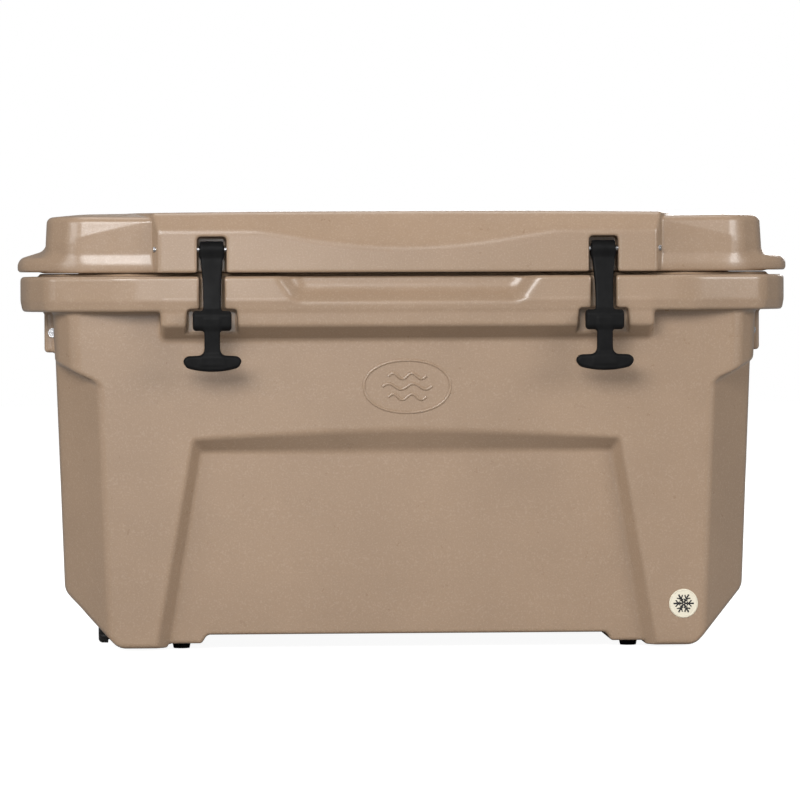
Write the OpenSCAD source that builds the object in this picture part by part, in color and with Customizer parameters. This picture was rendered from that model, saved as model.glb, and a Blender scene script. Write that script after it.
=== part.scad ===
// Insulated cooler chest: a double-wall base and lid with foam cores, rubber T latches,
// rod handles, rear pin hinges and a screw-out drain.
// Origin: on the floor at the middle of the footprint. +X along the length, -Y front, +Z up.

/* [Chest] */
// Length over the rim of the base
rim_l = 814; // [790:1:840]
// Depth from the front face of the lid to its rear face
chest_d = 440; // [430:1:460]
// Height to the top of the lid's crown
chest_h = 463; // [460:1:470]
// Height of the base's rim
base_h = 394.5; // [392:0.5:396]
// Thickness of the moulded skins
skin_t = 5; // [4:0.5:6]

/* [Tub] */
// Length of the tub at its floor
tub_l = 606; // [580:1:612]
// Height of the tub's floor
tub_floor = 54; // [50:1:60]
// Thickness of the front and rear walls at the rim
wall_t = 42; // [38:1:46]

/* [Lid] */
// Gap between the rim and the lid
seam = 3.5; // [3:0.5:5]
// Length of the lid's box over its end walls
lid_l = 758; // [750:1:762]
// Length of the raised middle section
middle_l = 534; // [530:1:538]
// How far each end flange stands past the lid's box
flange_w = 31; // [24:1:32]

/* [Latches] */
// Distance of each latch from the middle
latch_x = 205; // [200:1:208]
// Height of the latch pins
latch_z = 422.5; // [420:0.5:424]
// Radius of the latch pins
pin_r = 3; // [2.5:0.25:3.5]
// Width of the T handle
tee_w = 61; // [50:1:64]

/* [Handles and hinges] */
// Radius of the handle rods
rod_r = 4; // [3:0.5:4.5]
// Radius of the rubber grips
grip_r = 9; // [7:0.5:10]
// Distance of each hinge from the middle
hinge_x = 215; // [180:1:260]
// Radius of the hinge knuckles
knuckle_r = 9; // [8:0.25:9]

/* [Drain and feet] */
// Radius of the drain plug's cap
drain_r = 19.5; // [17:0.5:20]
// Radius of each foot's top
foot_r = 10; // [8:0.5:12]

/* [Hidden] */
$fn = 48;

tan_c = "#b39a78";
rubber_c = "#222222";
steel_c = "#b8bcc0";
foam_c = "#e9dfb4";
cream_c = "#ece4cd";
run = 0.06;                         // radial clearance of a running fit
free = 0.3;                         // gap between a core and its skin

// front and rear faces of the chest, off centre because latches stand out less than hinges
front = -chest_d / 2 - 1;
rear = chest_d / 2 - 1;
mid_y = (front + rear) / 2;

// base: body walls lean in towards the floor
rim_x = rim_l / 2;
rim_z0 = base_h - 37;               // underside of the rim
rim_fade = base_h - 26;             // below this the rim's face leans back
body_in = 26;                       // rim's overhang over the body's wall, at the rim
lean = 13;                          // how far the walls lean in over the full height
body_x = rim_x - 34;                // half-length at the top
belly_x = rim_x - 46;               // half-length where the end chamfer starts
toe_x = rim_x - 98;                 // half-length at the floor
sole_z = 3;                         // lowest moulded point
chamfer_z = 70;                     // top of the end chamfer
function body_front(z) = front + body_in + lean * (base_h - z) / base_h;
function body_rear(z) = rear - body_in - lean * (base_h - z) / base_h;
wall_lean = atan(lean / base_h);

// arch and foot zones under the base
arch_x = 211;
arch_z = 16;
pad_z = 7;
foot_x = 238;
foot_y = 130;
core_hole_x = 120;
core_hole_y = 70;
core_hole_r = 12;

// recessed panel of the front
panel_in = 12;
panel_top = 223;
panel_peak = 232;
panel_x0 = 268;
panel_x1 = 226;

// ledge under the rim, its keeper notches and the finger pull
ledge_x = 259;
ledge_z = base_h - 65.5;
notch_w = 51.6;
notch_top = 360;
notch_y = front + 18;
groove_w = 25.8;
groove_y = front + 14;
pull_x = 137;
pull_z = base_h - 27;
pull_in = 12;

// end handles
handle_z = 335;
handle_x = body_x;
boss_y = 90;                        // inner face of each boss from mid_y
boss_t = 22;
recess_x = 336;
recess_z0 = 300;

// drain, on an axis along X near the front left corner
drain_y = -124;
drain_z = 25;
drain_x = -311;                     // floor of the outer pocket
bore_r = 10;

// badge and emblem on the front wall
badge_x = 292;
badge_z = 47;
badge_r = 15.5;
emblem_z = 278;
emblem_w = 92;
emblem_h = 58;

// lid
lid_z0 = base_h + seam;
lid_x = lid_l / 2;
side_front = front + 14;            // front of the outer sections at the step
corner_front = front + 30;          // and where the corner bevel starts
corner_x = lid_x - 27;
lid_top = chest_h - 6;
middle_x = middle_l / 2;
step_w = 6;
lean_z = lid_z0 + 44;               // where the front starts to lean back
flange_z0 = lid_z0 + 2;
flange_z1 = lid_z0 + 17;
flange_x = lid_x + flange_w;
liner_h = 10;                       // inner liner, which stands into the tub
scoop_w = 316;                      // chord of the scoop in the front of the lid
scoop_in = 10;
scoop_r = (pow(scoop_w / 2, 2) + scoop_in * scoop_in) / (2 * scoop_in);
slot_w = 30.5;
slot_z = 435.5;
slot_y = front + 22;

// latches, hung just clear of the keepers
pin_y = front + 8;
swing = 12;                         // lean of the strap at rest
strap_r = 8.5;
strap_t = 9;
bar_z = 348;
bar_y = pin_y - (latch_z - bar_z) * tan(swing);
bar_w = 40.5;
bar_t = 13;
stem_w = 16.5;
tee_z = 304.5;
tee_r = 9.5;
tee_y = bar_y - 1.3;
tee_t = 12;

// hinges
hinge_y = rear + 9.5;
hinge_z = base_h + 2.5;
knuckle_l = 29;                     // each of a hinge's two base knuckles
lid_knuckle_l = 31;
knuckle_gap = 0.5;

// gasket
seal_l = 690;
seal_y = 172;
seal_w = 8;

// a closed skin through rings of 3-D points, each counter-clockwise seen from the last ring
module skin(rings) {
    n = len(rings[0]);
    m = len(rings);
    walls = [for (k = [0:m - 2]) for (i = [0:n - 1]) let (j = (i + 1) % n)
        each [[k * n + i, (k + 1) * n + i, (k + 1) * n + j], [k * n + i, (k + 1) * n + j, k * n + j]]];
    polyhedron([for (r = rings) each r], concat(
        [[for (i = [0:n - 1]) i]], [[for (i = [n - 1:-1:0]) (m - 1) * n + i]], walls));
}

// a level ring from the points of its right half, which run from the front to the rear
function level(half, z) = concat(
    [for (p = half) [p[0], p[1], z]],
    [for (i = [len(half) - 1:-1:0]) [-half[i][0], half[i][1], z]]);

// half outline of a box with bevelled corners
function bevel_half(x, y0, y1, cx, cy) =
    [[x - cx, y0], [x, y0 + cy], [x, y1 - cy], [x - cx, y1]];

module along_x(x0, x1) {
    translate([x0, 0, 0]) rotate([90, 0, 90]) linear_extrude(x1 - x0) children();
}

module rod_x(x0, x1, y, z, r) {
    translate([x0, y, z]) rotate([0, 90, 0]) cylinder(h = x1 - x0, r = r);
}

module rod_y(y0, y1, x, z, r) {
    translate([x, y1, z]) rotate([90, 0, 0]) cylinder(h = y1 - y0, r = r);
}

module at_sides(x) {
    for (s = [-1, 1]) translate([s * x, 0, 0]) children();
}

// a block on the front wall's plane, in its own frame: X along, Y up the wall, Z outwards
module on_wall(x, z) {
    translate([x, body_front(z), z]) rotate([90 + wall_lean, 0, 0]) children();
}

function body_half(z, x, cx, cy, inset) =
    bevel_half(x - inset, body_front(z) + inset, body_rear(z) - inset, cx, cy);

// walls of the base, moved inwards by inset, from z0 to z1
module base_body(inset, z0, z1) {
    slope = (belly_x - toe_x) / (chamfer_z - sole_z);
    skin([
        level(body_half(z0, toe_x + slope * (z0 - sole_z), 44, 52, inset), z0),
        level(body_half(chamfer_z, belly_x, 44, 52, inset), chamfer_z),
        level(body_half(287, body_x - 3, 46, 58, inset), 287),
        level(body_half(305, body_x - 2, 26, 36, inset), 305),
        level(body_half(z1, body_x, 26, 36, inset), z1)]);
}

function rim_half(inset) = [
    [rim_x - 110, front + inset], [rim_x - 37, front + 40 + inset], [rim_x - inset, front + 85],
    [rim_x - inset, rear - 60], [rim_x - 62, rear - inset]];

module rim() {
    skin([level(rim_half(3), rim_z0), level(rim_half(0), rim_fade), level(rim_half(0), base_h)]);
}

function ledge_ring(x, back) = [
    [x, front + 45, ledge_z], [x, front + 15 + back, ledge_z],
    [x, front + 3 + back, ledge_z + 13], [x, front + 1 + back, rim_fade],
    [x, front + 45, rim_fade]];

module ledge() {
    skin([for (p = [[ledge_x, 9], [ledge_x - 8, 0], [8 - ledge_x, 0], [-ledge_x, 9]])
        ledge_ring(p[0], p[1])]);
}

module tub(grow, z0) {
    top_x = tub_l / 2 + 19;
    top_y = chest_d / 2 - body_in - wall_t;
    skin([
        level(bevel_half(tub_l / 2 + grow, mid_y - top_y + 10 - grow, mid_y + top_y - 10 + grow, 35, 35), z0),
        level(bevel_half(top_x + grow, mid_y - top_y - grow, mid_y + top_y + grow, 35, 35), base_h + 2)]);
}

module drain_room(grow) {
    translate([drain_x + 11 - grow, drain_y - 15 - grow, drain_z - 14 - grow])
        cube([45 + 2 * grow, 36 + 2 * grow, 50 + 2 * grow]);
    rod_x(drain_x - 60, drain_x + (grow > 0 ? 12 : 0), drain_y, drain_z, drain_r + 4.5 + grow);
}

function panel_ring(depth, shrink) = [
    for (p = [[-panel_x0, -6], [panel_x0, -6], [panel_x1, panel_top], [0, panel_peak],
        [-panel_x1, panel_top]])
        let (x = p[0] - sign(p[0]) * shrink * 1.15, z = p[1] > 0 ? p[1] - shrink * 1.15 : p[1])
        [x, body_front(z) + depth, z]];

module panel(grow) {
    skin([panel_ring(panel_in + grow, panel_in - grow), panel_ring(-2, -2 - grow)]);
}

function pull_ring(y, x1, x0, z) = [[-x0, y, z], [x0, y, z], [x1, y, base_h + 4], [-x1, y, base_h + 4]];

module pull() {
    skin([
        pull_ring(front + pull_in, pull_x - 18, pull_x - 24, pull_z + 14),
        pull_ring(front - 1, pull_x, pull_x - 18, pull_z)]);
}

module arch(grow) {
    along_ends(grow) polygon([
        [-toe_x + 57 - grow, -1], [-toe_x + 57 - grow, pad_z + grow], [-arch_x - 6 - grow, pad_z + grow],
        [-arch_x - grow, arch_z + grow], [arch_x + grow, arch_z + grow], [arch_x + 6 + grow, pad_z + grow],
        [toe_x - 57 + grow, pad_z + grow], [toe_x - 57 + grow, -1]]);
}

module along_ends(grow) {
    translate([0, rear + grow, 0]) rotate([90, 0, 0]) linear_extrude(chest_d + 2 * grow) children();
}

module handle_recess(grow) {
    for (s = [-1, 1]) translate([s * (recess_x + 30), mid_y, (recess_z0 + rim_z0) / 2])
        cube([60 + 2 * grow, 2 * boss_y + 2 * grow, rim_z0 - recess_z0 + 2 * grow], center = true);
}

module bosses() {
    for (s = [-1, 1], t = [-1, 1])
        translate([s * (handle_x - 2), mid_y + t * (boss_y + boss_t / 2), handle_z + 1])
            cube([26, boss_t, 44], center = true);
}

module foot_spots() {
    for (s = [-1, 1], t = [-1, 1]) translate([s * foot_x, mid_y + t * foot_y, 0]) children();
}

module core_holes(r, z0, z1) {
    for (s = [-1, 1]) translate([s * core_hole_x, core_hole_y, z0]) cylinder(h = z1 - z0, r = r);
}

// room between the skins of the base; gap shrinks it on every side
module base_core(gap) {
    t = skin_t + gap;
    difference() {
        base_body(t, sole_z + t, base_h - t);
        tub(t, tub_floor - t);
        panel(t);
        arch(t);
        drain_room(t);
        handle_recess(t);
        foot_spots() cylinder(h = 26 + gap, r = 9 + gap);
    }
}

function oval(w, h, n) = [for (i = [0:n - 1]) let (a = 360 * i / n)
    [sign(cos(a)) * pow(abs(cos(a)), 0.7) * w / 2, sign(sin(a)) * pow(abs(sin(a)), 0.7) * h / 2]];

function wave(y, w) = concat(
    [for (i = [0:12]) [w * (i / 12 - 0.5), y + 3 * sin(i * 60)]],
    [for (i = [12:-1:0]) [w * (i / 12 - 0.5), y + 3.5 + 3 * sin(i * 60)]]);

module emblem() {
    on_wall(0, emblem_z) translate([0, 0, -1]) {
        linear_extrude(2) difference() {
            polygon(oval(emblem_w, emblem_h, 40));
            polygon(oval(emblem_w - 6, emblem_h - 6, 40));
        }
        for (k = [-1, 0, 1]) linear_extrude(2) polygon(wave(11 * k - 2, 46 - 8 * abs(k)));
    }
}

module hinge_base(x) {
    for (s = [-1, 1]) {
        x0 = x + s * (lid_knuckle_l / 2 + knuckle_gap + knuckle_l / 2) - knuckle_l / 2;
        rod_x(x0, x0 + knuckle_l, hinge_y, hinge_z, knuckle_r);
        along_x(x0, x0 + knuckle_l) polygon([
            [rear - 4, hinge_z - 3.5], [hinge_y, hinge_z], [hinge_y + knuckle_r - 0.3, hinge_z - 2],
            [rear, rim_z0 + 5], [rear - 4, rim_z0 + 5]]);
    }
}

module base_shell() {
    color(tan_c) difference() {
        union() {
            base_body(0, sole_z, base_h - 1);
            rim();
            ledge();
            bosses();
            emblem();
            for (s = [-1, 1]) hinge_base(s * hinge_x);
        }
        tub(0, tub_floor);
        base_core(0);
        panel(0);
        arch(0);
        drain_room(0);
        rod_x(drain_x - 1, drain_x + 12, drain_y, drain_z, bore_r + 2.5);
        handle_recess(0);
        pull();
        at_sides(latch_x) {
            translate([-notch_w / 2, front - 2, 310])
                cube([notch_w, notch_y - front + 2, notch_top - 310]);
            translate([-groove_w / 2, front - 2, 350])
                cube([groove_w, groove_y - front + 2, base_h - 350 + 1]);
        }
        for (s = [-1, 1]) {
            rod_y(mid_y - boss_y - boss_t - 1, mid_y + boss_y + boss_t + 1, s * handle_x, handle_z, rod_r);
            rod_x(s * hinge_x - 60, s * hinge_x + 60, hinge_y, hinge_z, pin_r);
        }
        core_holes(core_hole_r, arch_z - 1, arch_z + skin_t + 1);
        foot_spots() translate([0, 0, pad_z - 1]) cylinder(h = 16, r = 2.5, $fn = 32);
        on_wall(badge_x, badge_z) translate([0, 0, -0.5]) cylinder(h = 4, r = badge_r + 0.2);
    }
}

module base_foam() {
    color(foam_c) base_core(free);
}

module base_foam_plugs() {
    color(rubber_c) core_holes(core_hole_r, arch_z, arch_z + skin_t - 0.5);
}

module badge_disc() {
    color(cream_c) on_wall(badge_x, badge_z) translate([0, 0, -0.5]) cylinder(h = 1.3, r = badge_r);
}

module drain_fitting() {
    color(rubber_c) difference() {
        union() {
            rod_x(drain_x - 2.5, drain_x, drain_y, drain_z, bore_r + 7);
            rod_x(drain_x - 1, drain_x + 13, drain_y, drain_z, bore_r + 2.5);
        }
        rod_x(drain_x - 4, drain_x + 15, drain_y, drain_z, bore_r);
    }
}

module drain_washer() {
    color("#555555") difference() {
        rod_x(drain_x - 4.6, drain_x - 2.6, drain_y, drain_z, bore_r + 6);
        rod_x(drain_x - 6, drain_x, drain_y, drain_z, bore_r + run);
    }
}

module drain_plug() {
    color(rubber_c) difference() {
        union() {
            rod_x(drain_x - 15, drain_x - 4.7, drain_y, drain_z, drain_r);
            rod_x(drain_x - 5, drain_x + 11, drain_y, drain_z, bore_r - run);
        }
        for (a = [0:30:330])
            translate([0, drain_y, drain_z]) rotate([a, 0, 0])
                rod_x(drain_x - 16, drain_x - 7, 0, drain_r + 1, 2.5);
        rod_x(drain_x - 3, drain_x + 12, drain_y, drain_z, bore_r - 3);
    }
}

module foot(s, t) {
    color(rubber_c) translate([s * foot_x, mid_y + t * foot_y, 0]) difference() {
        rotate_extrude() polygon([[0, 0], [foot_r - 1.5, 0], [foot_r, pad_z], [0, pad_z]]);
        translate([0, 0, -1]) cylinder(h = 5, r = 5);
        translate([0, 0, 3]) cylinder(h = 5, r = 2.6, $fn = 32);
    }
}

module foot_screws() {
    color(steel_c) foot_spots() {
        translate([0, 0, 2]) cylinder(h = 2, r = 4.4);
        translate([0, 0, 3]) cylinder(h = 16, r = 2.5, $fn = 32);
    }
}

module handle_rod(s) {
    end_y = boss_y + boss_t;
    color(steel_c) {
        rod_y(mid_y - end_y, mid_y + end_y, s * handle_x, handle_z, rod_r);
        for (t = [-1, 1])
            rod_y(mid_y + t * (end_y + 1) - 1, mid_y + t * (end_y + 1) + 1,
                s * handle_x, handle_z, rod_r + 1);
    }
}

module handle_grip(s) {
    color(rubber_c) difference() {
        union() {
            rod_y(mid_y - boss_y + 1, mid_y + boss_y - 1, s * handle_x, handle_z, grip_r - 1);
            for (k = [-8:8]) rod_y(mid_y + k * 10 - 3, mid_y + k * 10 + 3, s * handle_x, handle_z, grip_r);
        }
        rod_y(mid_y - boss_y, mid_y + boss_y, s * handle_x, handle_z, rod_r + run);
    }
}

module hinge_pin(s) {
    half = lid_knuckle_l / 2 + knuckle_gap + knuckle_l;
    color(steel_c) {
        rod_x(s * hinge_x - half, s * hinge_x + half, hinge_y, hinge_z, pin_r);
        for (t = [-1, 1]) {
            x0 = s * hinge_x + t * (half + 0.75) - 0.75;
            rod_x(x0, x0 + 1.5, hinge_y, hinge_z, pin_r + 2);
        }
    }
}

function side_half(inset) = [
    [middle_x, side_front + inset], [corner_x - inset / 2, corner_front + inset],
    [lid_x - inset, corner_front + 31], [lid_x - inset, rear - 30], [corner_x, rear - max(inset, 0)]];

module lid_sides() {
    skin([level(side_half(-1), lid_z0), level(side_half(0), lean_z - 4), level(side_half(7), lid_top),
        level([[200, mid_y - 110], [240, mid_y - 105], [260, mid_y - 90], [260, mid_y + 90],
            [240, mid_y + 105]], chest_h)]);
}

function middle_half(inset) = [
    [middle_x - step_w - inset / 4, front + inset], [middle_x - inset / 4, side_front + inset],
    [middle_x - inset, mid_y]];

module lid_middle() {
    skin([level(middle_half(0), lid_z0), level(middle_half(0), lean_z),
        level(middle_half(14), chest_h - 2), level(middle_half(44), chest_h)]);
}

function flange_half(x, back) = [
    [300, front + 22 + back], [corner_x, corner_front + back],
    [(corner_x + x) / 2 + 6, corner_front + 26 + back], [x, corner_front + 58 + back],
    [x, rear - 56], [x - 28, rear - 20], [340, rear - 2]];

module lid_flange() {
    skin([level(flange_half(flange_x, 0), flange_z0), level(flange_half(flange_x, 0), flange_z1),
        level(flange_half(lid_x + 2, 2), flange_z1 + 8)]);
}

module scoop(grow) {
    rise = chest_h - 2 - lean_z;
    angle = atan(14 / rise);
    translate([0, front, lean_z]) rotate([-angle, 0, 0])
        translate([0, -scoop_r + scoop_in + grow, -60])
            cylinder(h = 120, r = scoop_r, $fn = 360);
}

module lid_core(gap) {
    t = skin_t + gap;
    difference() {
        skin([level(side_half(t), lid_z0 + 9 + gap), level(side_half(t), lean_z - 8),
            level(side_half(7 + t), lid_top - t)]);
        at_sides(latch_x) translate([-slot_w / 2 - t, front, lid_z0 - 1])
            cube([slot_w + 2 * t, slot_y - front + t, 60]);
        scoop(t);
    }
}

module seal_ring(grow, z0, z1) {
    half = seal_y + grow;
    inner = seal_w + 2 * grow;
    difference() {
        skin([for (z = [z0, z1])
            level(bevel_half(seal_l / 2 + grow, mid_y - half, mid_y + half, 30, 30), z)]);
        skin([for (z = [z0 - 1, z1 + 1]) level(bevel_half(seal_l / 2 + grow - inner, mid_y - half + inner,
            mid_y + half - inner, 26, 26), z)]);
    }
}

module liner() {
    reach = chest_d / 2 - body_in - wall_t - 6;
    skin([
        level(bevel_half(tub_l / 2 + 7, mid_y - reach + 2, mid_y + reach - 2, 32, 32), lid_z0 - liner_h),
        level(bevel_half(tub_l / 2 + 10, mid_y - reach, mid_y + reach, 32, 32), lid_z0 + 1)]);
}

module hinge_lid(x) {
    x0 = x - lid_knuckle_l / 2;
    rod_x(x0, x0 + lid_knuckle_l, hinge_y, hinge_z, knuckle_r);
    along_x(x0, x0 + lid_knuckle_l) polygon([
        [rear - 4, lid_z0 + 1], [hinge_y, hinge_z], [hinge_y + knuckle_r - 1, hinge_z + 3.5],
        [rear, lid_z0 + 30], [rear - 4, lid_z0 + 30]]);
}

module lid_shell() {
    color(tan_c) difference() {
        union() {
            lid_sides();
            lid_middle();
            lid_flange();
            liner();
            for (s = [-1, 1]) hinge_lid(s * hinge_x);
        }
        lid_core(0);
        scoop(0);
        at_sides(latch_x) translate([-slot_w / 2, front - 1, lid_z0 - 1])
            cube([slot_w, slot_y - front + 1, slot_z - lid_z0 + 1]);
        for (s = [-1, 1]) {
            rod_x(s * latch_x - 29, s * latch_x + 29, pin_y, latch_z, pin_r);
            rod_x(s * (latch_x + 40) - 30, s * (latch_x + 40) + 30, pin_y, latch_z, pin_r);
            rod_x(s * hinge_x - 60, s * hinge_x + 60, hinge_y, hinge_z, pin_r + run);
        }
        seal_ring(0.2, lid_z0 - 1, lid_z0 + 4.2);
        core_holes(core_hole_r, lid_z0 - liner_h - 1, lid_z0 + 10);
    }
}

module lid_foam() {
    color(foam_c) lid_core(free);
}

module lid_foam_plugs() {
    color(rubber_c) core_holes(core_hole_r, lid_z0 - liner_h, lid_z0 + 8.5);
}

module lid_gasket() {
    color(rubber_c) seal_ring(0, base_h + 0.3, lid_z0 + 4);
}

module latch_pin(s) {
    x0 = s > 0 ? latch_x - 27 : -middle_x + 1;
    x1 = s > 0 ? middle_x - 1 : -latch_x + 27;
    color(steel_c) rod_x(x0, x1, pin_y, latch_z, pin_r);
}

function strap_ring(w, d) = [
    for (p = [[-w / 2, -strap_t / 2], [w / 2, -strap_t / 2], [w / 2, strap_t / 2], [-w / 2, strap_t / 2]])
        [p[0], p[1], -d]];

module latch(s) {
    color(rubber_c) translate([s * latch_x, 0, 0]) difference() {
        union() {
            rod_x(-12.5, 12.5, pin_y, latch_z, strap_r);
            translate([0, pin_y, latch_z]) rotate([-swing, 0, 0])
                skin([strap_ring(18.5, (latch_z - bar_z) / cos(swing)), strap_ring(24, 0)]);
            for (z = [-4, 4]) rod_x(-bar_w / 2, bar_w / 2, bar_y, bar_z + z, bar_t / 2);
            translate([0, bar_y, bar_z]) cube([bar_w, bar_t, 8], center = true);
            translate([-stem_w / 2, tee_y - 4.5, tee_z]) cube([stem_w, 9, bar_z - tee_z]);
            translate([0, tee_y, tee_z]) cube([tee_w - 2 * tee_r, tee_t, 2 * tee_r], center = true);
            for (t = [-1, 1])
                rod_y(tee_y - tee_t / 2, tee_y + tee_t / 2, t * (tee_w / 2 - tee_r), tee_z, tee_r);
        }
        rod_x(-14, 14, pin_y, latch_z, pin_r + run);
    }
}

base_shell();
base_foam();
base_foam_plugs();
badge_disc();
drain_fitting();
drain_washer();
drain_plug();
foot(-1, -1);  // foot_front_left
foot(1, -1);  // foot_front_right
foot(-1, 1);  // foot_rear_left
foot(1, 1);  // foot_rear_right
foot_screws();
handle_rod(-1);  // handle_rod_left
handle_rod(1);  // handle_rod_right
handle_grip(-1);  // handle_grip_left
handle_grip(1);  // handle_grip_right
hinge_pin(-1);  // hinge_pin_left
hinge_pin(1);  // hinge_pin_right
lid_shell();
lid_foam();
lid_foam_plugs();
lid_gasket();
latch_pin(-1);  // latch_pin_left
latch_pin(1);  // latch_pin_right
latch(-1);  // latch_left
latch(1);  // latch_right
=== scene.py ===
"""Looks of the cooler chest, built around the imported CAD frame."""
import math

import bmesh
import bpy
import numpy as np
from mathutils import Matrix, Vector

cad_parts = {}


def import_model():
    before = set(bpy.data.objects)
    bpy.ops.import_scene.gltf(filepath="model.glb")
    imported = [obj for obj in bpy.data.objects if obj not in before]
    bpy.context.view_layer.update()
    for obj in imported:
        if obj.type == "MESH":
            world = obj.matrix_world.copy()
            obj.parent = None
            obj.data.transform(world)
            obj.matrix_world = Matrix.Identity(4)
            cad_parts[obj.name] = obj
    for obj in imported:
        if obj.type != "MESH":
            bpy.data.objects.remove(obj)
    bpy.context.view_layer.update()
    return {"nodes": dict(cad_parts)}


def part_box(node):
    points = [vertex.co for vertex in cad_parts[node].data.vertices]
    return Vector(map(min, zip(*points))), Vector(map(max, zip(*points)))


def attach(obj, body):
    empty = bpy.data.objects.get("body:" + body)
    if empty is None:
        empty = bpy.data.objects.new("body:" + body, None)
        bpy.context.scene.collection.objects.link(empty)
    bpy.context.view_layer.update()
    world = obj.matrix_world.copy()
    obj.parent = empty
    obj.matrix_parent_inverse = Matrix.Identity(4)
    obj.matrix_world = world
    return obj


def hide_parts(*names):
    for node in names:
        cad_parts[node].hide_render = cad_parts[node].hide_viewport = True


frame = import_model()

import openvdb
from mathutils import Matrix, Vector

MM = 0.001
BASE_PITCH = 2.0
LID_PITCH = 1.6
LATCH_PITCH = 0.8


# ---------------------------------------------------------------- sizes, in millimetres
def node_box(name):
    low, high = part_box(name)
    return np.array(low) / MM, np.array(high) / MM


def node_middle(name):
    low, high = node_box(name)
    return (low + high) / 2


lid_low, lid_high = node_box("lid_shell")
base_low, base_high = node_box("base_shell")
HINGE_X, HINGE_Y, HINGE_Z = node_middle("hinge_pin_right")
LATCH_X = node_middle("latch_right")[0]
PIN_Y, PIN_Z = node_middle("latch_pin_right")[1:]
DRAIN_Y, DRAIN_Z = node_middle("drain_fitting")[1:]
DRAIN_X = node_box("drain_fitting")[0][0] + 2.5
BADGE_X, _, BADGE_Z = node_middle("badge_disc")

FRONT = lid_low[1]
REAR = HINGE_Y - 9.5
MID = (FRONT + REAR) / 2
RIM_TOP = HINGE_Z - 2.5
RIM_LOW = RIM_TOP - 37
LID_Z = RIM_TOP + 3.5
LID_TOP = lid_high[2]
RIM_X = base_high[0]
FLANGE_X = lid_high[0]
SOLE_Z = base_low[2]
CAP_R = 19.5           # radius of the drain plug's cap
SHANK_R = 9.9          # and of its shank
WALL_IN = 26           # the rim's overhang over the wall
WALL_LEAN = 13         # how far the walls lean in, over the height
SKIN = 5               # thickness of the plastic round the foam
SEAL_X = 345.2         # half length of the seal's outline
SEAL_Y = 172.2         # half depth of it
SEAL_W = 8.4           # width of its groove
LID_X = 379            # half length of the lid's box
TUB_LOW = np.array([303.0, 142.0, 54.0])             # half length, half depth and height
TUB_TOP = np.array([322.0, 152.0, RIM_TOP + 2])
MIDDLE_END = (267, FRONT + 14)                       # plan points along the lid's front
FACE_END = (352, FRONT + 30)
CORNER_END = (LID_X, FRONT + 61)
FLANGE_END = (388, FRONT + 58)


# ---------------------------------------------------------------- distance fields
def line(u, v, p, q):
    """Signed distance of (u, v) from the line p to q, positive on its right."""
    du, dv = q[0] - p[0], q[1] - p[1]
    return ((u - p[0]) * dv - (v - p[1]) * du) / math.hypot(du, dv)


def both(a, b, r):
    """Where two fields overlap, with the outer edge rounded."""
    u, v = np.maximum(a + r, 0), np.maximum(b + r, 0)
    return np.minimum(np.maximum(a, b), -r) + np.sqrt(u * u + v * v)


def either(a, b, r):
    """Two fields joined, with a fillet between them."""
    return -both(-a, -b, r)


def without(a, b, r):
    """The first field with the second cut out, its edge rounded."""
    return both(a, -b, r)


def smooth(t):
    """An eased step from 0 to 1."""
    t = np.clip(t, 0, 1)
    return t * t * (3 - 2 * t)


def axes(low, high, pitch):
    """The x, y and z of a grid, each shaped to broadcast against the others."""
    spans = [np.arange(a, b + pitch, pitch, dtype=np.float32) for a, b in zip(low, high)]
    return spans[0][:, None, None], spans[1][None, :, None], spans[2][None, None, :]


def mirrored(field):
    """The whole width from the half with x from 0 up."""
    return np.concatenate([field[:0:-1], field], axis=0)


def wall_half(z):
    """Half the depth of the base's walls at height z."""
    return (REAR - FRONT) / 2 - WALL_IN - WALL_LEAN * (RIM_TOP - z) / RIM_TOP


def base_walls(x, y, z):
    """The tapered body, with chamfered corners, sunk corner facets and cut toes."""
    wall = np.abs(y - MID) - wall_half(z)
    toe_top = (RIM_X - 45.5, 61)
    end = line(x, z, toe_top, (RIM_X - 34, RIM_TOP))
    toe = line(x, z, (RIM_X - 103, SOLE_Z), toe_top)
    across, deep = 20, 26
    upper = (end * deep + wall * across + across * deep) / math.hypot(across, deep)
    walls = both(both(wall, end, 4), upper, 7)
    across, deep = 46, 58
    bevel = (end * deep + wall * across + across * deep) / math.hypot(across, deep)
    facet = z - 284 - 0.48 * (x - 327)
    walls = without(walls, both(-bevel, facet, 5), 4)
    walls = both(walls, toe, 4)
    return np.maximum(both(walls, SOLE_Z - z, 5), z - RIM_TOP + 1)


def rim_plan(x, y):
    """The rim's outline from above: a straight front, then two facets to each end."""
    elbow = (RIM_X - 30, FRONT + 27)
    plan = both(FRONT - y, line(x, y, (RIM_X - 110, FRONT), elbow), 5)
    plan = both(plan, line(x, y, elbow, (RIM_X, FRONT + 76)), 7)
    plan = both(plan, line(x, y, (RIM_X, REAR - 60), (RIM_X - 62, REAR)), 14)
    return both(both(plan, x - RIM_X, 14), y - REAR, 10)


def rim(x, y, z):
    """The band round the top, drawn in a little below."""
    face, draft = 26, 0.22
    plan = rim_plan(x, y) + draft * np.maximum(RIM_TOP - face - z, 0)
    return both(both(plan, z - RIM_TOP, 4), RIM_LOW - z, 3)


def seal_outline(x, y):
    """The outside of the seal from above, its corners cut."""
    end, wall = x - SEAL_X, np.abs(y - MID) - SEAL_Y
    return np.maximum(np.maximum(end, wall), (end + wall + 30) / math.sqrt(2))


def land(x, y, z):
    """A low ridge on the rim, outside the seal and under the lid's edge."""
    inset, height = 20, 3.2
    ridge = both(rim_plan(x, y) + inset, z - RIM_TOP - height, 1)
    return np.maximum(np.maximum(ridge, 1 - seal_outline(x, y)), RIM_TOP - 6 - z)


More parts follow.
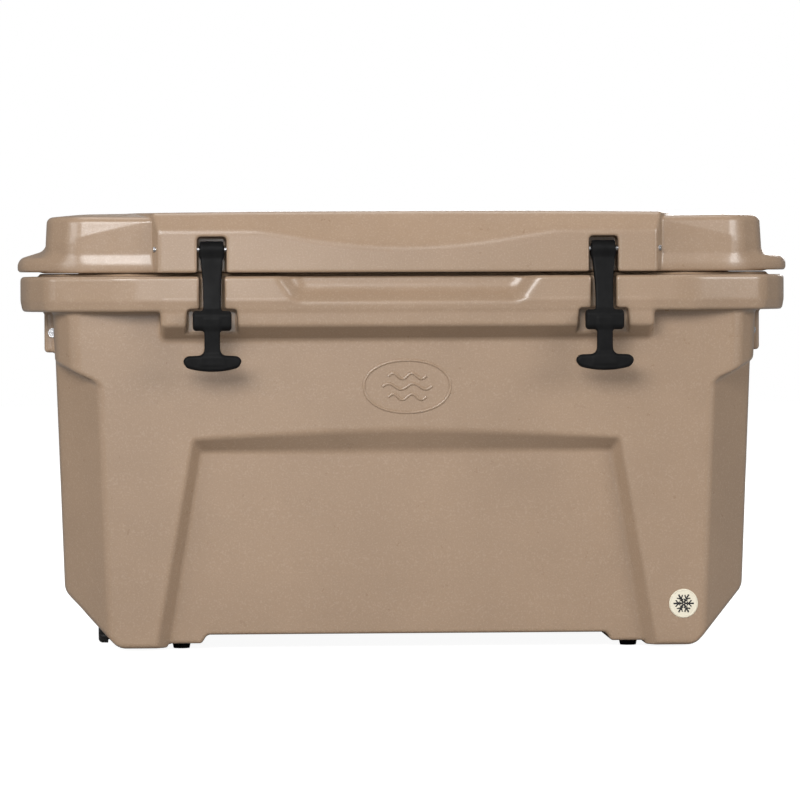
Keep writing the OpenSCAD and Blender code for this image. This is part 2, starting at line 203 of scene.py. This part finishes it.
def ledge(x, y, z):
    """The deeper middle of the rim's front, its underside sloping back to the wall."""
    deep, half = 45, 259
    face = FRONT + 1 + 0.06 * np.maximum(RIM_TOP - 26 - z, 0) - y
    under = line(y, z, (FRONT + 3, RIM_TOP - 52.5), (FRONT + 27, RIM_TOP - 65.5))
    block = both(face, under, 2.5)
    block = np.maximum(np.maximum(block, z - RIM_LOW - 12), y - FRONT - deep)
    return both(block, x - half, 6)


def keeper(x, y, z):
    """The notch under the rim that takes a latch's crossbar, and the groove of its strap."""
    across = np.abs(x - LATCH_X)
    half, top, deep = 25.8, 360, 18
    notch = both(across - half - 0.05 * (top - z), z - top, 3)
    notch = np.maximum(notch, y - FRONT - deep)
    half, low, deep = 12.9, 350, 14
    groove = np.maximum(np.maximum(across - half, y - FRONT - deep), low - z)
    return notch, groove


def finger_pull(x, y, z):
    """The scoop in the middle of the rim's front, with a sloping sill and slanted cheeks."""
    low, deep = RIM_TOP - 27, 12
    sill = line(y, z, (FRONT, low), (FRONT + deep, low + 14.5))
    cheek = ((x - 119) * 306 + (y - FRONT) * 459 - (z - low) * 216) / 592
    return both(both(cheek, sill, 4), y - FRONT - deep, 4)


def panel(x, y, z):
    """The recess of the front panel: its top slope is steepest at its ends, its sides at the top."""
    deep, shoulder, floor_top = 15, 223, 210
    depth = y - MID + wall_half(z)
    outer = 225 + 40 * (shoulder - z) / shoulder
    inner = 217 + 34 * (floor_top - z) / floor_top
    fall = (outer - inner) / deep
    side = (x - outer + depth * fall) / np.sqrt(1.03 + fall * fall)
    peak = 232 - 9 * np.power(x / 226, 1.5)
    fall = (peak - floor_top) / deep
    top = (z - peak + depth * fall) / np.sqrt(1 + fall * fall)
    return both(both(side, top, 3), depth - deep, 2)


def arch(x, z):
    """The two steps cut under the base, the higher one in the middle."""
    high, low = 16, 7
    middle = both(z - high, line(x, z, (217, low), (211, high)), 2)
    return np.minimum(middle, np.maximum(z - low, x - RIM_X + 155))


def tub(x, y, z):
    """The inside of the chest, wider at the top."""
    t = (z - TUB_LOW[2]) / (TUB_TOP[2] - TUB_LOW[2])
    end = x - TUB_LOW[0] - t * (TUB_TOP[0] - TUB_LOW[0])
    wall = np.abs(y - MID) - TUB_LOW[1] - t * (TUB_TOP[1] - TUB_LOW[1])
    hole = both(both(end, (end + wall + 35) / math.sqrt(2), 14), wall, 14)
    return both(hole, TUB_LOW[2] - z, 12)


def end_recess(x, y, z):
    """The hollow under the rim at each end, behind the handle."""
    half, low, back = 90, 300, 336
    hole = both(np.abs(y - MID) - half, low - z, 9)
    return both(both(hole, back - x, 7), z - RIM_LOW, 3)


def bosses(x, y, z):
    """The two lugs at each end that carry the handle's rod."""
    middle, half, out, low, back = 101, 11, 382, 314, 356
    block = both(np.abs(np.abs(y - MID) - middle) - half, x - out, 3)
    return np.maximum(both(block, low - z, 3), np.maximum(z - RIM_LOW - 3, back - x))


def knuckles(x, y, z, spans, wedge):
    """Round hinge knuckles over spans of x, each with a web given as a convex outline."""
    radius = 8.8
    barrel = np.hypot(y - HINGE_Y, z - HINGE_Z) - radius
    web = -np.inf
    for p, q in zip(wedge, wedge[1:]):
        web = np.maximum(web, line(y, z, p, q))
    profile = either(barrel, web, 2)
    out = np.inf
    for a, b in spans:
        out = np.minimum(out, both(profile, np.abs(x - (a + b) / 2) - (b - a) / 2, 1.2))
    return out


def base_field(pitch):
    """The base: both halves alike but for the drain's pocket and sump at the left."""
    low = np.array([0, FRONT - 5, SOLE_Z - 5])
    x, y, z = axes(low, [RIM_X + 6, base_high[1] + 6, base_high[2] + 6], pitch)
    field = either(base_walls(x, y, z), rim(x, y, z), 4)
    field = either(field, ledge(x, y, z), 3)
    field = either(field, land(x, y, z), 1)
    field = without(field, panel(x, y, z), 2)
    notch, groove = keeper(x, y, z)
    field = without(field, notch, 2)
    field = without(field, groove, 2)
    field = without(field, finger_pull(x, y, z), 2.5)
    field = without(field, end_recess(x, y, z), 5)
    field = either(field, bosses(x, y, z), 3)
    web = [(REAR - 6, RIM_LOW + 2), (REAR, RIM_LOW + 2), (HINGE_Y + 8, HINGE_Z - 3),
        (HINGE_Y, HINGE_Z), (REAR - 6, HINGE_Z - 3.5)]
    apart, half = 30.5, 14.5
    spans = [(HINGE_X + s * apart - half, HINGE_X + s * apart + half) for s in (-1, 1)]
    field = either(field, knuckles(x, y, z, spans, web), 2)
    field = without(field, arch(x, z), 3)
    field = without(field, tub(x, y, z), 4)
    field = mirrored(field)
    x = np.concatenate([-x[:0:-1], x], axis=0)
    drain_end, pocket_r = -240, 24
    near = int(np.searchsorted(x[:, 0, 0], drain_end))
    side = x[:near]
    pocket = both(np.hypot(y - DRAIN_Y, z - DRAIN_Z) - pocket_r, side - DRAIN_X, 3)
    sump = both(np.abs(side + 277.5) - 22.5, np.abs(y - DRAIN_Y - 3) - 18, 4)
    sump = both(np.maximum(sump, z - 62), DRAIN_Z - 14 - z, 4)
    field[:near] = without(without(field[:near], pocket, 3), sump, 3)
    return field, np.array([x[0, 0, 0], low[1], low[2]])


def lid_crown(x):
    """Height of the lid's slightly crowned top along its length."""
    return LID_TOP - 0.6 - 3 * (x / 380) ** 2 - 3 * smooth((x - 330) / 60)


def lid_sides(x, y, z):
    """The lid's box, with its front set back beside the middle block."""
    crease = LID_Z + 55 - 0.23 * (x - 268)
    face = line(x, y, MIDDLE_END, FACE_END) + 0.12 * np.maximum(z - crease, 0)
    corner = line(x, y, FACE_END, CORNER_END)
    plan = both(face, corner + 0.1 * np.maximum(z - 430, 0), 7)
    plan = both(plan, x - LID_X + 0.05 * (z - 436), 9)
    plan = both(plan, line(x, y, (LID_X, REAR - 30), (FACE_END[0], REAR)), 12)
    plan = both(plan, y - REAR, 10)
    fall = 4.5 * (1 - smooth((y - FRONT - 12) / 50))
    top = lid_crown(x) - fall - 3 * smooth((y - REAR + 50) / 50)
    box = both(plan, z - top, 6)
    return np.maximum(box, -np.maximum(x - 260, y - FRONT - 36))


def lid_middle(x, y, z):
    """The block between the latches, its upper front leaning back and scooped."""
    lean_z, back = LID_Z + 44, 14
    dip = 10 * np.power(np.clip(1 - (x / 160) ** 2, 0, 1), 1.35)
    lean = line(y, z, (FRONT + back, lean_z + 20), (FRONT, lean_z)) + dip
    block = both(FRONT - y, lean, 2.5)
    block = both(block, line(x, y, (261, FRONT), MIDDLE_END), 3)
    return np.maximum(both(block, z - lid_crown(x), 3.5), y - FRONT - 80)


def flange(x, y, z):
    """The thin skirt round the lid's foot, its top sloping up to the lid."""
    plan = both(line(x, y, MIDDLE_END, FACE_END), line(x, y, FACE_END, FLANGE_END), 8)
    plan = both(plan, line(x, y, FLANGE_END, (FLANGE_X, FRONT + 91)), 8)
    plan = both(plan, line(x, y, (FLANGE_X, REAR - 56), (FLANGE_X - 55, REAR)), 14)
    plan = both(both(plan, x - FLANGE_X, 10), y - REAR, 10)
    edge, slope, run = 15, 0.31, 45
    top = (z - LID_Z - edge + slope * np.maximum(plan, -run)) * 0.955
    lip = both(both(plan, top, 7), LID_Z + 1 - z, 4)
    return np.maximum(lip, FRONT + 14 - y)


def seal_groove(x, y, z):
    """The groove in the lid's underside that holds the seal."""
    half = SEAL_W / 2
    return np.maximum(np.abs(seal_outline(x, y) + half) - half, z - LID_Z - half)


def liner(x, y, z):
    """The raised inner face of the lid, which reaches into the tub."""
    end, wall, high = x - 312, np.abs(y - MID) - 145, 10
    plan = both(both(end, (end + wall + 32) / math.sqrt(2), 12), wall, 12)
    return np.maximum(both(plan, LID_Z - high - z, 4), z - LID_Z - high)


def lid_field(pitch):
    """The lid, with its latch slots and its hinge knuckle at each side."""
    low = np.array([0, FRONT - 5, LID_Z - 16])
    x, y, z = axes(low, [FLANGE_X + 6, lid_high[1] + 6, LID_TOP + 6], pitch)
    field = either(lid_sides(x, y, z), flange(x, y, z), 7)
    field = either(field, lid_middle(x, y, z), 1.5)
    field = both(field, LID_Z - z, 2.5)
    field = either(field, liner(x, y, z), 3)
    slot = both(np.abs(x - LATCH_X) - 15.25, z - 435.5, 4)
    field = without(field, np.maximum(slot, y - FRONT - 22), 2.5)
    web = [(HINGE_Y, HINGE_Z), (HINGE_Y + 8, HINGE_Z + 3.5), (REAR, LID_Z + 30),
        (REAR - 6, LID_Z + 30), (REAR - 6, LID_Z + 1)]
    spans = [(HINGE_X - 15.2, HINGE_X + 15.2)]
    field = either(field, knuckles(x, y, z, spans, web + web[:1]), 2)
    field = without(field, seal_groove(x, y, z), 0.5)
    return mirrored(field), np.array([-x[-1, 0, 0], low[1], low[2]])


def latch_field(pitch):
    """One T latch, about its own middle in x."""
    low = np.array([0.0, PIN_Y - 28, 290.0])
    x, y, z = axes(low, [34, PIN_Y + 14, PIN_Z + 13], pitch)
    bar_z, swing = 348.0, math.radians(12)
    bar_y = PIN_Y - (PIN_Z - bar_z) * math.tan(swing)
    down = (PIN_Z - z) * math.cos(swing) - (y - PIN_Y) * math.sin(swing)
    out = (y - PIN_Y) * math.cos(swing) + (PIN_Z - z) * math.sin(swing)
    half = 12 - 2.75 * smooth(down / 46)
    strap = both(both(x - half, np.abs(out) - 4.3, 2), np.abs(down - 36) - 38, 1)
    knuckle = both(np.hypot(y - PIN_Y, z - PIN_Z) - 8.4, x - 12.4, 1.6)
    field = either(strap, knuckle, 4)
    barrel = np.hypot(y - bar_y, np.maximum(np.abs(z - bar_z) - 4.2, 0)) - 6.3
    bar = both(barrel, x - 20.2, 3.5)
    field = either(field, bar, 3)
    tee_y, tee_z = bar_y - 1.3, 304.5
    flare = 8.2 + 5 * smooth((tee_z + 18 - z) / 16) ** 2
    stem = both(both(x - flare, np.abs(y - tee_y) - 4.4, 2.2), np.abs(z - 326) - 24, 1)
    field = either(field, stem, 3)
    bow = np.hypot(x, z - tee_z - 82) - 91.5
    top = z - tee_z - 8.2 + 0.05 * x
    tee = both(both(bow, top, 3), x - 30.4, 6.5)
    tee = both(tee, np.abs(y - tee_y) - 5.6, 3.5)
    field = either(field, tee, 3.5)
    field = without(field, np.hypot(y - PIN_Y, z - PIN_Z) - 3.1, 0.3)
    return mirrored(field), np.array([-x[-1, 0, 0], low[1], low[2]])


def plug_field(pitch):
    """The drain plug about x: a rounded cap with flutes and a bar to turn it by, and a hollow shank."""
    low, high = node_box("drain_plug")
    x, y, z = axes(low - 3, high + 3, pitch)
    out, step = np.hypot(y - DRAIN_Y, z - DRAIN_Z), math.pi / 6
    turn = np.arctan2(z - DRAIN_Z, y - DRAIN_Y)
    turn = turn - step * np.round(turn / step)
    flute = np.hypot(out * np.cos(turn) - CAP_R - 1, out * np.sin(turn)) - 2.5
    cap = np.maximum(both(out - CAP_R, low[0] - x, 4.5), x - low[0] - 10.3)
    cap = without(cap, np.maximum(flute, x - low[0] - 8), 1)
    hollows = both(out - CAP_R + 5.5, 2.8 - np.abs(z - DRAIN_Z), 1.5)
    cap = without(cap, both(hollows, x - low[0] - 4, 1), 0.8)
    shank = np.maximum(both(out - SHANK_R, x - high[0], 0.8), low[0] + 9 - x)
    field = np.minimum(cap, shank)
    return without(field, np.maximum(out - SHANK_R + 3, low[0] + 12 - x), 0.3), low - 3


def sample(field, at):
    """Trilinear values of a field at places counted in its cells."""
    cell = np.clip(np.floor(at).astype(int), 0, np.array(field.shape) - 2)
    part = at - cell
    value = 0
    for corner in np.ndindex(2, 2, 2):
        weight = np.prod(np.where(corner, part, 1 - part), axis=1)
        i, j, k = (cell + corner).T
        value = value + weight * field[i, j, k]
    return value


def set_smooth(mesh):
    """Marks every face as smooth."""
    mesh.polygons.foreach_set("use_smooth", np.ones(len(mesh.polygons), bool))


def mesh_of(name, field, low, pitch, faces):
    """A mesh of the field's surface in metres, of about that many triangles, with the field's normals."""
    band = 3 * pitch
    grid = openvdb.FloatGrid(band)
    grid.copyFromArray(np.ascontiguousarray(np.clip(field, -band, band), dtype=np.float32))
    points, quads = grid.convertToQuads(isovalue=0.0)
    faces_found = quads[:, ::-1][:, [0, 1, 2, 0, 2, 3]].reshape(-1, 3)
    mesh = bpy.data.meshes.new(name)
    mesh.vertices.add(len(points))
    mesh.vertices.foreach_set("co", ((points * pitch + low) * MM).astype(np.float32).ravel())
    mesh.loops.add(faces_found.size)
    mesh.loops.foreach_set("vertex_index", faces_found.astype(np.int32).ravel())
    mesh.polygons.add(len(faces_found))
    mesh.polygons.foreach_set("loop_start", np.arange(0, faces_found.size, 3, dtype=np.int32))
    mesh.update(calc_edges=True)
    piece = bpy.data.objects.new(name, mesh)
    bpy.context.scene.collection.objects.link(piece)
    thin = piece.modifiers.new("thin", "DECIMATE")
    thin.ratio = min(1.0, faces / len(faces_found))
    thinned = bpy.data.meshes.new_from_object(
        piece.evaluated_get(bpy.context.evaluated_depsgraph_get()))
    piece.modifiers.clear()
    piece.data = thinned
    bpy.data.meshes.remove(mesh)
    thinned.name = name
    at = np.empty(len(thinned.vertices) * 3, np.float32)
    thinned.vertices.foreach_get("co", at)
    cells = (at.reshape(-1, 3) / MM - low) / pitch
    normal = np.stack([sample(field, cells + 0.5 * e) - sample(field, cells - 0.5 * e)
        for e in np.eye(3)], axis=1)
    normal /= np.maximum(np.linalg.norm(normal, axis=1, keepdims=True), 1e-6)
    flat = np.empty(len(thinned.polygons) * 3, np.float32)
    thinned.polygons.foreach_get("normal", flat)
    first = np.empty(len(thinned.loops), np.int32)
    thinned.loops.foreach_get("vertex_index", first)
    if (normal[first[::3]] * flat.reshape(-1, 3)).sum() < 0:
        thinned.flip_normals()
    set_smooth(thinned)
    thinned.normals_split_custom_set_from_vertices(normal.tolist())
    return piece


# ---------------------------------------------------------------- materials
class Nodes:
    """A material's node tree, with short calls for the nodes used here."""

    def __init__(self, name):
        self.material = bpy.data.materials.new(name)
        self.material.use_nodes = True
        self.tree = self.material.node_tree
        self.shader = self.tree.nodes["Principled BSDF"]
        self.place = self.tree.nodes.new("ShaderNodeTexCoord").outputs["Object"]

    def put(self, socket, value):
        if isinstance(value, bpy.types.NodeSocket):
            self.tree.links.new(value, socket)
        else:
            socket.default_value = value

    def noise(self, scale, detail=2.0, rough=0.5):
        node = self.tree.nodes.new("ShaderNodeTexNoise")
        self.put(node.inputs["Vector"], self.place)
        node.inputs["Scale"].default_value = scale
        node.inputs["Detail"].default_value = detail
        node.inputs["Roughness"].default_value = rough
        return node.outputs["Fac"]

    def spread(self, value, low, high, to_low, to_high):
        node = self.tree.nodes.new("ShaderNodeMapRange")
        ends = {"From Min": low, "From Max": high, "To Min": to_low, "To Max": to_high}
        for key, number in ends.items():
            node.inputs[key].default_value = number
        self.put(node.inputs["Value"], value)
        return node.outputs["Result"]

    def mix(self, amount, a, b):
        node = self.tree.nodes.new("ShaderNodeMix")
        node.data_type = "RGBA"
        self.put(node.inputs["Factor"], amount)
        self.put(node.inputs["A"], a)
        self.put(node.inputs["B"], b)
        return node.outputs["Result"]

    def bump(self, height, distance, strength=1.0, under=None):
        node = self.tree.nodes.new("ShaderNodeBump")
        node.inputs["Distance"].default_value = distance
        node.inputs["Strength"].default_value = strength
        self.put(node.inputs["Height"], height)
        if under is not None:
            self.put(node.inputs["Normal"], under)
        return node.outputs["Normal"]

    def set(self, **values):
        for key, value in values.items():
            self.put(self.shader.inputs[key.replace("_", " ")], value)
        return self.material


def shade(colour, factor):
    return tuple(c * factor for c in colour) + (1.0,)


def rotomoulded():
    n = Nodes("rotomoulded tan plastic")
    tan = (0.318, 0.219, 0.145)
    mottle = n.spread(n.noise(9, 3, 0.55), 0.3, 0.7, 0, 1)
    colour = n.mix(mottle, shade(tan, 0.95), shade(tan, 1.05))
    speck = n.spread(n.noise(480, 1, 0.5), 0.36, 0.64, 0, 0.1)
    colour = n.mix(speck, colour, shade(tan, 0.62))
    pale = n.spread(n.noise(620, 0, 0.5), 0.55, 0.75, 0, 0.12)
    colour = n.mix(pale, colour, (0.62, 0.5, 0.4, 1.0))
    peel = n.bump(n.noise(170, 2, 0.5), 0.00022, 0.5)
    grain = n.bump(n.noise(430, 1, 0.5), 0.00004, 0.35, peel)
    rough = n.spread(n.noise(60, 4, 0.6), 0.3, 0.7, 0.27, 0.4)
    return n.set(Base_Color=colour, Roughness=rough, Normal=grain, IOR=1.5,
        Coat_Weight=0.35, Coat_Roughness=0.22)


def moulded_black(name, level, rough_low, rough_high, scale, shine=0.5):
    n = Nodes(name)
    dark = (level, level, level * 1.03)
    colour = n.mix(n.spread(n.noise(90, 3), 0.3, 0.7, 0, 1), shade(dark, 0.8), shade(dark, 1.25))
    bloom = n.spread(n.noise(25, 4, 0.6), 0.5, 0.8, 0, 0.25)
    colour = n.mix(bloom, colour, shade(dark, 2.2))
    grain = n.bump(n.noise(scale, 3, 0.6), 0.00006, 0.6)
    rough = n.spread(n.noise(40, 3), 0.3, 0.7, rough_low, rough_high)
    return n.set(Base_Color=colour, Roughness=rough, Normal=grain, Specular_IOR_Level=shine)


def stainless():
    n = Nodes("brushed stainless")
    stretch = n.tree.nodes.new("ShaderNodeMapping")
    n.put(stretch.inputs["Vector"], n.place)
    stretch.inputs["Scale"].default_value = (3000, 200, 3000)
    n.place = stretch.outputs["Vector"]
    brush = n.noise(1.0, 3)
    rough = n.spread(brush, 0.3, 0.7, 0.2, 0.38)
    colour = n.mix(brush, (0.34, 0.34, 0.35, 1), (0.5, 0.5, 0.51, 1))
    return n.set(Base_Color=colour, Metallic=1.0, Roughness=rough, Normal=n.bump(brush, 0.000002))


def foam():
    n = Nodes("poured foam")
    cells = n.noise(500, 3)
    colour = n.mix(cells, (0.7, 0.6, 0.34, 1), (0.86, 0.78, 0.52, 1))
    return n.set(Base_Color=colour, Roughness=0.9, Normal=n.bump(cells, 0.0003))


def printed_plate():
    n = Nodes("cream plate")
    colour = n.mix(n.noise(80, 3), (0.7, 0.64, 0.5, 1), (0.8, 0.75, 0.62, 1))
    return n.set(Base_Color=colour, Roughness=n.spread(n.noise(300), 0.3, 0.7, 0.3, 0.45),
        Normal=n.bump(n.noise(400), 0.00002))


shell_mat = rotomoulded()
rubber_mat = moulded_black("latch rubber", 0.007, 0.42, 0.58, 900, 0.08)
seal_mat = moulded_black("seal rubber", 0.03, 0.65, 0.8, 600)
plastic_mat = moulded_black("black plastic", 0.014, 0.3, 0.45, 500)
steel_mat = stainless()
foam_mat = foam()
plate_mat = printed_plate()
mark_mat = moulded_black("badge ink", 0.02, 0.35, 0.45, 400)


# ---------------------------------------------------------------- camera
def aim_camera():
    """A long lens 5 m away, a little to the left, at the height of the seam."""
    distance, left, height = 5.0, math.radians(3.0), RIM_TOP * MM + 0.004
    data = bpy.data.cameras.new("camera")
    data.sensor_width, data.lens = 36, 215.4
    data.clip_end = 50
    camera = bpy.data.objects.new("camera", data)
    bpy.context.scene.collection.objects.link(camera)
    camera.location = (-distance * math.sin(left), FRONT * MM - distance * math.cos(left), height)
    yaw, tilt, roll = left - math.radians(0.105), math.radians(1.535), math.radians(0.22)
    camera.rotation_euler = (Matrix.Rotation(-yaw, 3, "Z") @ Matrix.Rotation(math.pi / 2 - tilt, 3, "X")
        @ Matrix.Rotation(-roll, 3, "Z")).to_euler()
    bpy.context.scene.camera = camera


aim_camera()


# ---------------------------------------------------------------- pieces
def finish(piece, material, body, slot, *nodes):
    """Gives a piece its material and body, and hides the CAD nodes that it stands for. The slot is not
    used.
    """
    piece.data.materials.clear()
    piece.data.materials.append(material)
    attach(piece, body)
    if nodes:
        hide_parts(*nodes)
    return piece


def new_piece(name, bm):
    """An object made from a bmesh, which is freed."""
    mesh = bpy.data.meshes.new(name)
    bm.to_mesh(mesh)
    bm.free()
    piece = bpy.data.objects.new(name, mesh)
    bpy.context.scene.collection.objects.link(piece)
    return piece


def on_wall(x, z):
    """Matrix of a spot on the front wall: x along it, y up it, z out of it, in millimetres."""
    lean = math.atan(WALL_LEAN / RIM_TOP)
    return (Matrix.Scale(MM, 4) @ Matrix.Translation((x, MID - wall_half(z), z))
        @ Matrix.Rotation(math.pi / 2 + lean, 4, "X"))


def prism(bm, outline, low, high, edge):
    """An upright prism of an outline, its top edge drawn in a little."""
    middle = sum((Vector(p) for p in outline), Vector((0, 0))) / len(outline)
    rings = []
    for height, shrink in ((low, 0), (high - edge, 0), (high, edge)):
        ring = []
        for p in outline:
            v = Vector(p)
            v = v - (v - middle).normalized() * shrink
            ring.append(bm.verts.new((v.x, v.y, height)))
        rings.append(ring)
    for a, b in zip(rings, rings[1:]):
        for i in range(len(a)):
            j = (i + 1) % len(a)
            bm.faces.new((a[i], a[j], b[j], b[i]))
    bm.faces.new(rings[-1])
    bm.faces.new(rings[0][::-1])


def ribbon(bm, path, width, height, closed=False):
    """A low rounded ridge along a flat path."""
    arc = [math.radians(a) for a in range(0, 181, 30)]
    rings = []
    for i, p in enumerate(path):
        a = path[i - 1] if i or closed else path[i]
        b = path[(i + 1) % len(path)] if i + 1 < len(path) or closed else path[i]
        along = Vector((b[0] - a[0], b[1] - a[1])).normalized()
        side = Vector((-along.y, along.x))
        rings.append([bm.verts.new((p[0] + side.x * math.cos(t) * width / 2,
            p[1] + side.y * math.cos(t) * width / 2, math.sin(t) * height)) for t in arc])
    pairs = list(zip(rings, rings[1:])) + ([(rings[-1], rings[0])] if closed else [])
    for a, b in pairs:
        for i in range(len(arc) - 1):
            bm.faces.new((a[i], b[i], b[i + 1], a[i + 1]))
        bm.faces.new((a[-1], b[-1], b[0], a[0]))
    if not closed:
        bm.faces.new(rings[0])
        bm.faces.new(rings[-1][::-1])


def emblem():
    """A raised oval with three waves, moulded into the front wall."""
    bm = bmesh.new()
    steps = 72
    ring = []
    for i in range(steps):
        a = 2 * math.pi * i / steps
        c, s = math.cos(a), math.sin(a)
        ring.append((45.5 * math.copysign(abs(c) ** 0.94, c), 27.5 * math.copysign(abs(s) ** 0.94, s)))
    ribbon(bm, ring, 3.0, 1.1, closed=True)
    for row, width in ((-11, 40), (0, 52), (11, 40)):
        wave = [((i / 32 - 0.5) * width, row + 3 * math.sin(i / 32 * 4 * math.pi)) for i in range(33)]
        ribbon(bm, wave, 3.2, 1.2)
    piece = new_piece("front_emblem", bm)
    piece.data.transform(on_wall(0, 278))
    face_outward(piece)
    finish(piece, shell_mat, "base", "shell_plastic")


def face_outward(piece):
    """Turns a piece's faces outward, smooth but for its sharp edges."""
    bm = bmesh.new()
    bm.from_mesh(piece.data)
    bmesh.ops.recalc_face_normals(bm, faces=bm.faces)
    bm.to_mesh(piece.data)
    bm.free()
    set_smooth(piece.data)
    piece.data.set_sharp_from_angle(angle=math.radians(40))


def snow_bar(bm, turn, start, end, width):
    """A flat bar of the snowflake from start to end, turned about its middle."""
    a, b = Vector(start), Vector(end)
    along = (b - a).normalized() * width / 2
    side = Vector((-along.y, along.x))
    prism(bm, [turn @ v for v in (a - side, b - side, b + side, a + side)], 0.5, 0.95, 0.08)


def badge():
    """A round plate with a raised rim and a plain snowflake."""
    bm = bmesh.new()
    steps, radius = 64, 15.3
    angles = [2 * math.pi * i / steps for i in range(steps)]
    circle = [(radius * math.cos(a), radius * math.sin(a)) for a in angles]
    prism(bm, circle, -0.4, 0.7, 0.35)
    ribbon(bm, [(x * 0.93, y * 0.93) for x, y in circle], 1.0, 1.0, closed=True)
    plate = new_piece("badge_plate", bm)
    plate.data.transform(on_wall(BADGE_X, BADGE_Z))
    face_outward(plate)
    finish(plate, plate_mat, "base", "badge_cream", "badge_disc")
    bm = bmesh.new()
    for k in range(6):
        turn = Matrix.Rotation(math.radians(60 * k), 2)
        snow_bar(bm, turn, (0.6, 0), (10.8, 0), 1.7)
        for s in (-1, 1):
            snow_bar(bm, turn, (5.2, 0), (8.4, 3.4 * s), 1.3)
            snow_bar(bm, turn, (2.9, 0), (4.7, 1.9 * s), 1.1)
    mark = new_piece("badge_mark", bm)
    mark.data.transform(on_wall(BADGE_X, BADGE_Z))
    face_outward(mark)
    finish(mark, mark_mat, "base", "black_plastic")


def shells():
    """The two mouldings, and in each the foam that fills it, a skin's thickness inside."""
    field, low = base_field(BASE_PITCH)
    base = mesh_of("base_moulding", field, low, BASE_PITCH, 170000)
    finish(base, shell_mat, "base", "shell_plastic", "base_shell")
    core = mesh_of("base_core", field + SKIN, low, BASE_PITCH, 30000)
    finish(core, foam_mat, "base", "foam", "base_foam")
    field, low = lid_field(LID_PITCH)
    lid = mesh_of("lid_moulding", field, low, LID_PITCH, 120000)
    finish(lid, shell_mat, "lid", "shell_plastic", "lid_shell")
    core = mesh_of("lid_core", field + SKIN, low, LID_PITCH, 20000)
    finish(core, foam_mat, "lid", "foam", "lid_foam")


def latches():
    """The two T latches, one shape moved to each side."""
    field, low = latch_field(LATCH_PITCH)
    for side, body in ((-1, "latch_left"), (1, "latch_right")):
        at = low + np.array([side * LATCH_X, 0, 0])
        piece = mesh_of(body + "_rubber", field, at, LATCH_PITCH, 30000)
        finish(piece, rubber_mat, body, "black_rubber", body)


def drain_plug():
    """The drain plug, in black plastic."""
    field, low = plug_field(LATCH_PITCH)
    piece = mesh_of("drain_plug_cap", field, low, LATCH_PITCH, 16000)
    finish(piece, plastic_mat, "drain_plug", "black_plastic", "drain_plug")


def cad_finishes():
    """Materials and small edge rounds of the CAD nodes that are shown as they are."""
    kinds = {"foot_": (rubber_mat, 0.7), "foot_screws": (steel_mat, 0.3), "handle_rod": (steel_mat, 0.4),
        "handle_grip": (rubber_mat, 0.5), "hinge_pin": (steel_mat, 0.4), "latch_pin": (steel_mat, 0.3),
        "lid_gasket": (seal_mat, 0.8),
        "base_foam_plugs": (plastic_mat, 0.4), "lid_foam_plugs": (plastic_mat, 0.4),
        "drain_fitting": (plastic_mat, 0.4), "drain_washer": (seal_mat, 0.2)}
    for name, node in frame["nodes"].items():
        match = max((k for k in kinds if name.startswith(k)), key=len, default=None)
        if match is None:
            continue
        material, edge = kinds[match]
        node.data.materials.clear()
        node.data.materials.append(material)
        soft = node.modifiers.new("edge", "BEVEL")
        soft.width, soft.segments, soft.limit_method = edge * MM, 2, "ANGLE"
        soft.angle_limit = math.radians(50)


shells()
latches()
drain_plug()
emblem()
badge()
cad_finishes()


# ---------------------------------------------------------------- stage and light
def stage():
    """The floor, which the camera sees nearly white and the object as mid grey."""
    bm = bmesh.new()
    bmesh.ops.create_grid(bm, x_segments=2, y_segments=2, size=9)
    floor = new_piece("floor", bm)
    n = Nodes("pale floor")
    seen = n.tree.nodes.new("ShaderNodeLightPath").outputs["Is Camera Ray"]
    n.set(Base_Color=n.mix(n.noise(3, 3), (0.3, 0.3, 0.3, 1), (0.33, 0.33, 0.33, 1)), Roughness=0.9,
        Emission_Color=(1, 1, 1, 1), Emission_Strength=n.spread(seen, 0, 1, 0, 0.94))
    floor.data.materials.append(n.material)


def area_light(name, at, target, size, power):
    """A soft rectangular light, turned to its target."""
    data = bpy.data.lights.new(name, "AREA")
    data.shape, data.size, data.size_y = "RECTANGLE", size[0], size[1]
    data.energy = power
    light = bpy.data.objects.new(name, data)
    light.location = at
    light.rotation_euler = (Vector(target) - Vector(at)).to_track_quat("-Z", "Y").to_euler()
    bpy.context.scene.collection.objects.link(light)


def world():
    """A plain white background for the camera, and a dim even light for the rest."""
    data = bpy.data.worlds.new("studio")
    bpy.context.scene.world = data
    data.use_nodes = True
    tree = data.node_tree
    back = tree.nodes["Background"]
    path = tree.nodes.new("ShaderNodeLightPath")
    level = tree.nodes.new("ShaderNodeMapRange")
    level.inputs["To Min"].default_value = 0.2
    level.inputs["To Max"].default_value = 1.0
    tree.links.new(path.outputs["Is Camera Ray"], level.inputs["Value"])
    tree.links.new(level.outputs["Result"], back.inputs["Strength"])
    back.inputs["Color"].default_value = (1, 1, 1, 1)


stage()
world()
heart = (0, 0, 0.25)
area_light("key", (-1.4, -4.0, 2.1), heart, (2.4, 1.6), 150)
area_light("fill right", (3.2, -2.6, 1.5), heart, (1.6, 1.6), 70)
area_light("fill left", (-3.4, -2.0, 1.3), heart, (1.4, 1.4), 32)
area_light("overhead", (0, 0.5, 3.2), (0, 0, 0), (2.5, 2.0), 34)
area_light("rear fill", (1.0, 4.2, 1.5), heart, (2.4, 1.6), 55)
area_light("sheen", (-0.2, -6.0, 0.37), (-0.2, 0, 0.37), (0.5, 0.22), 12)
bpy.context.scene.view_settings.view_transform = "Standard"
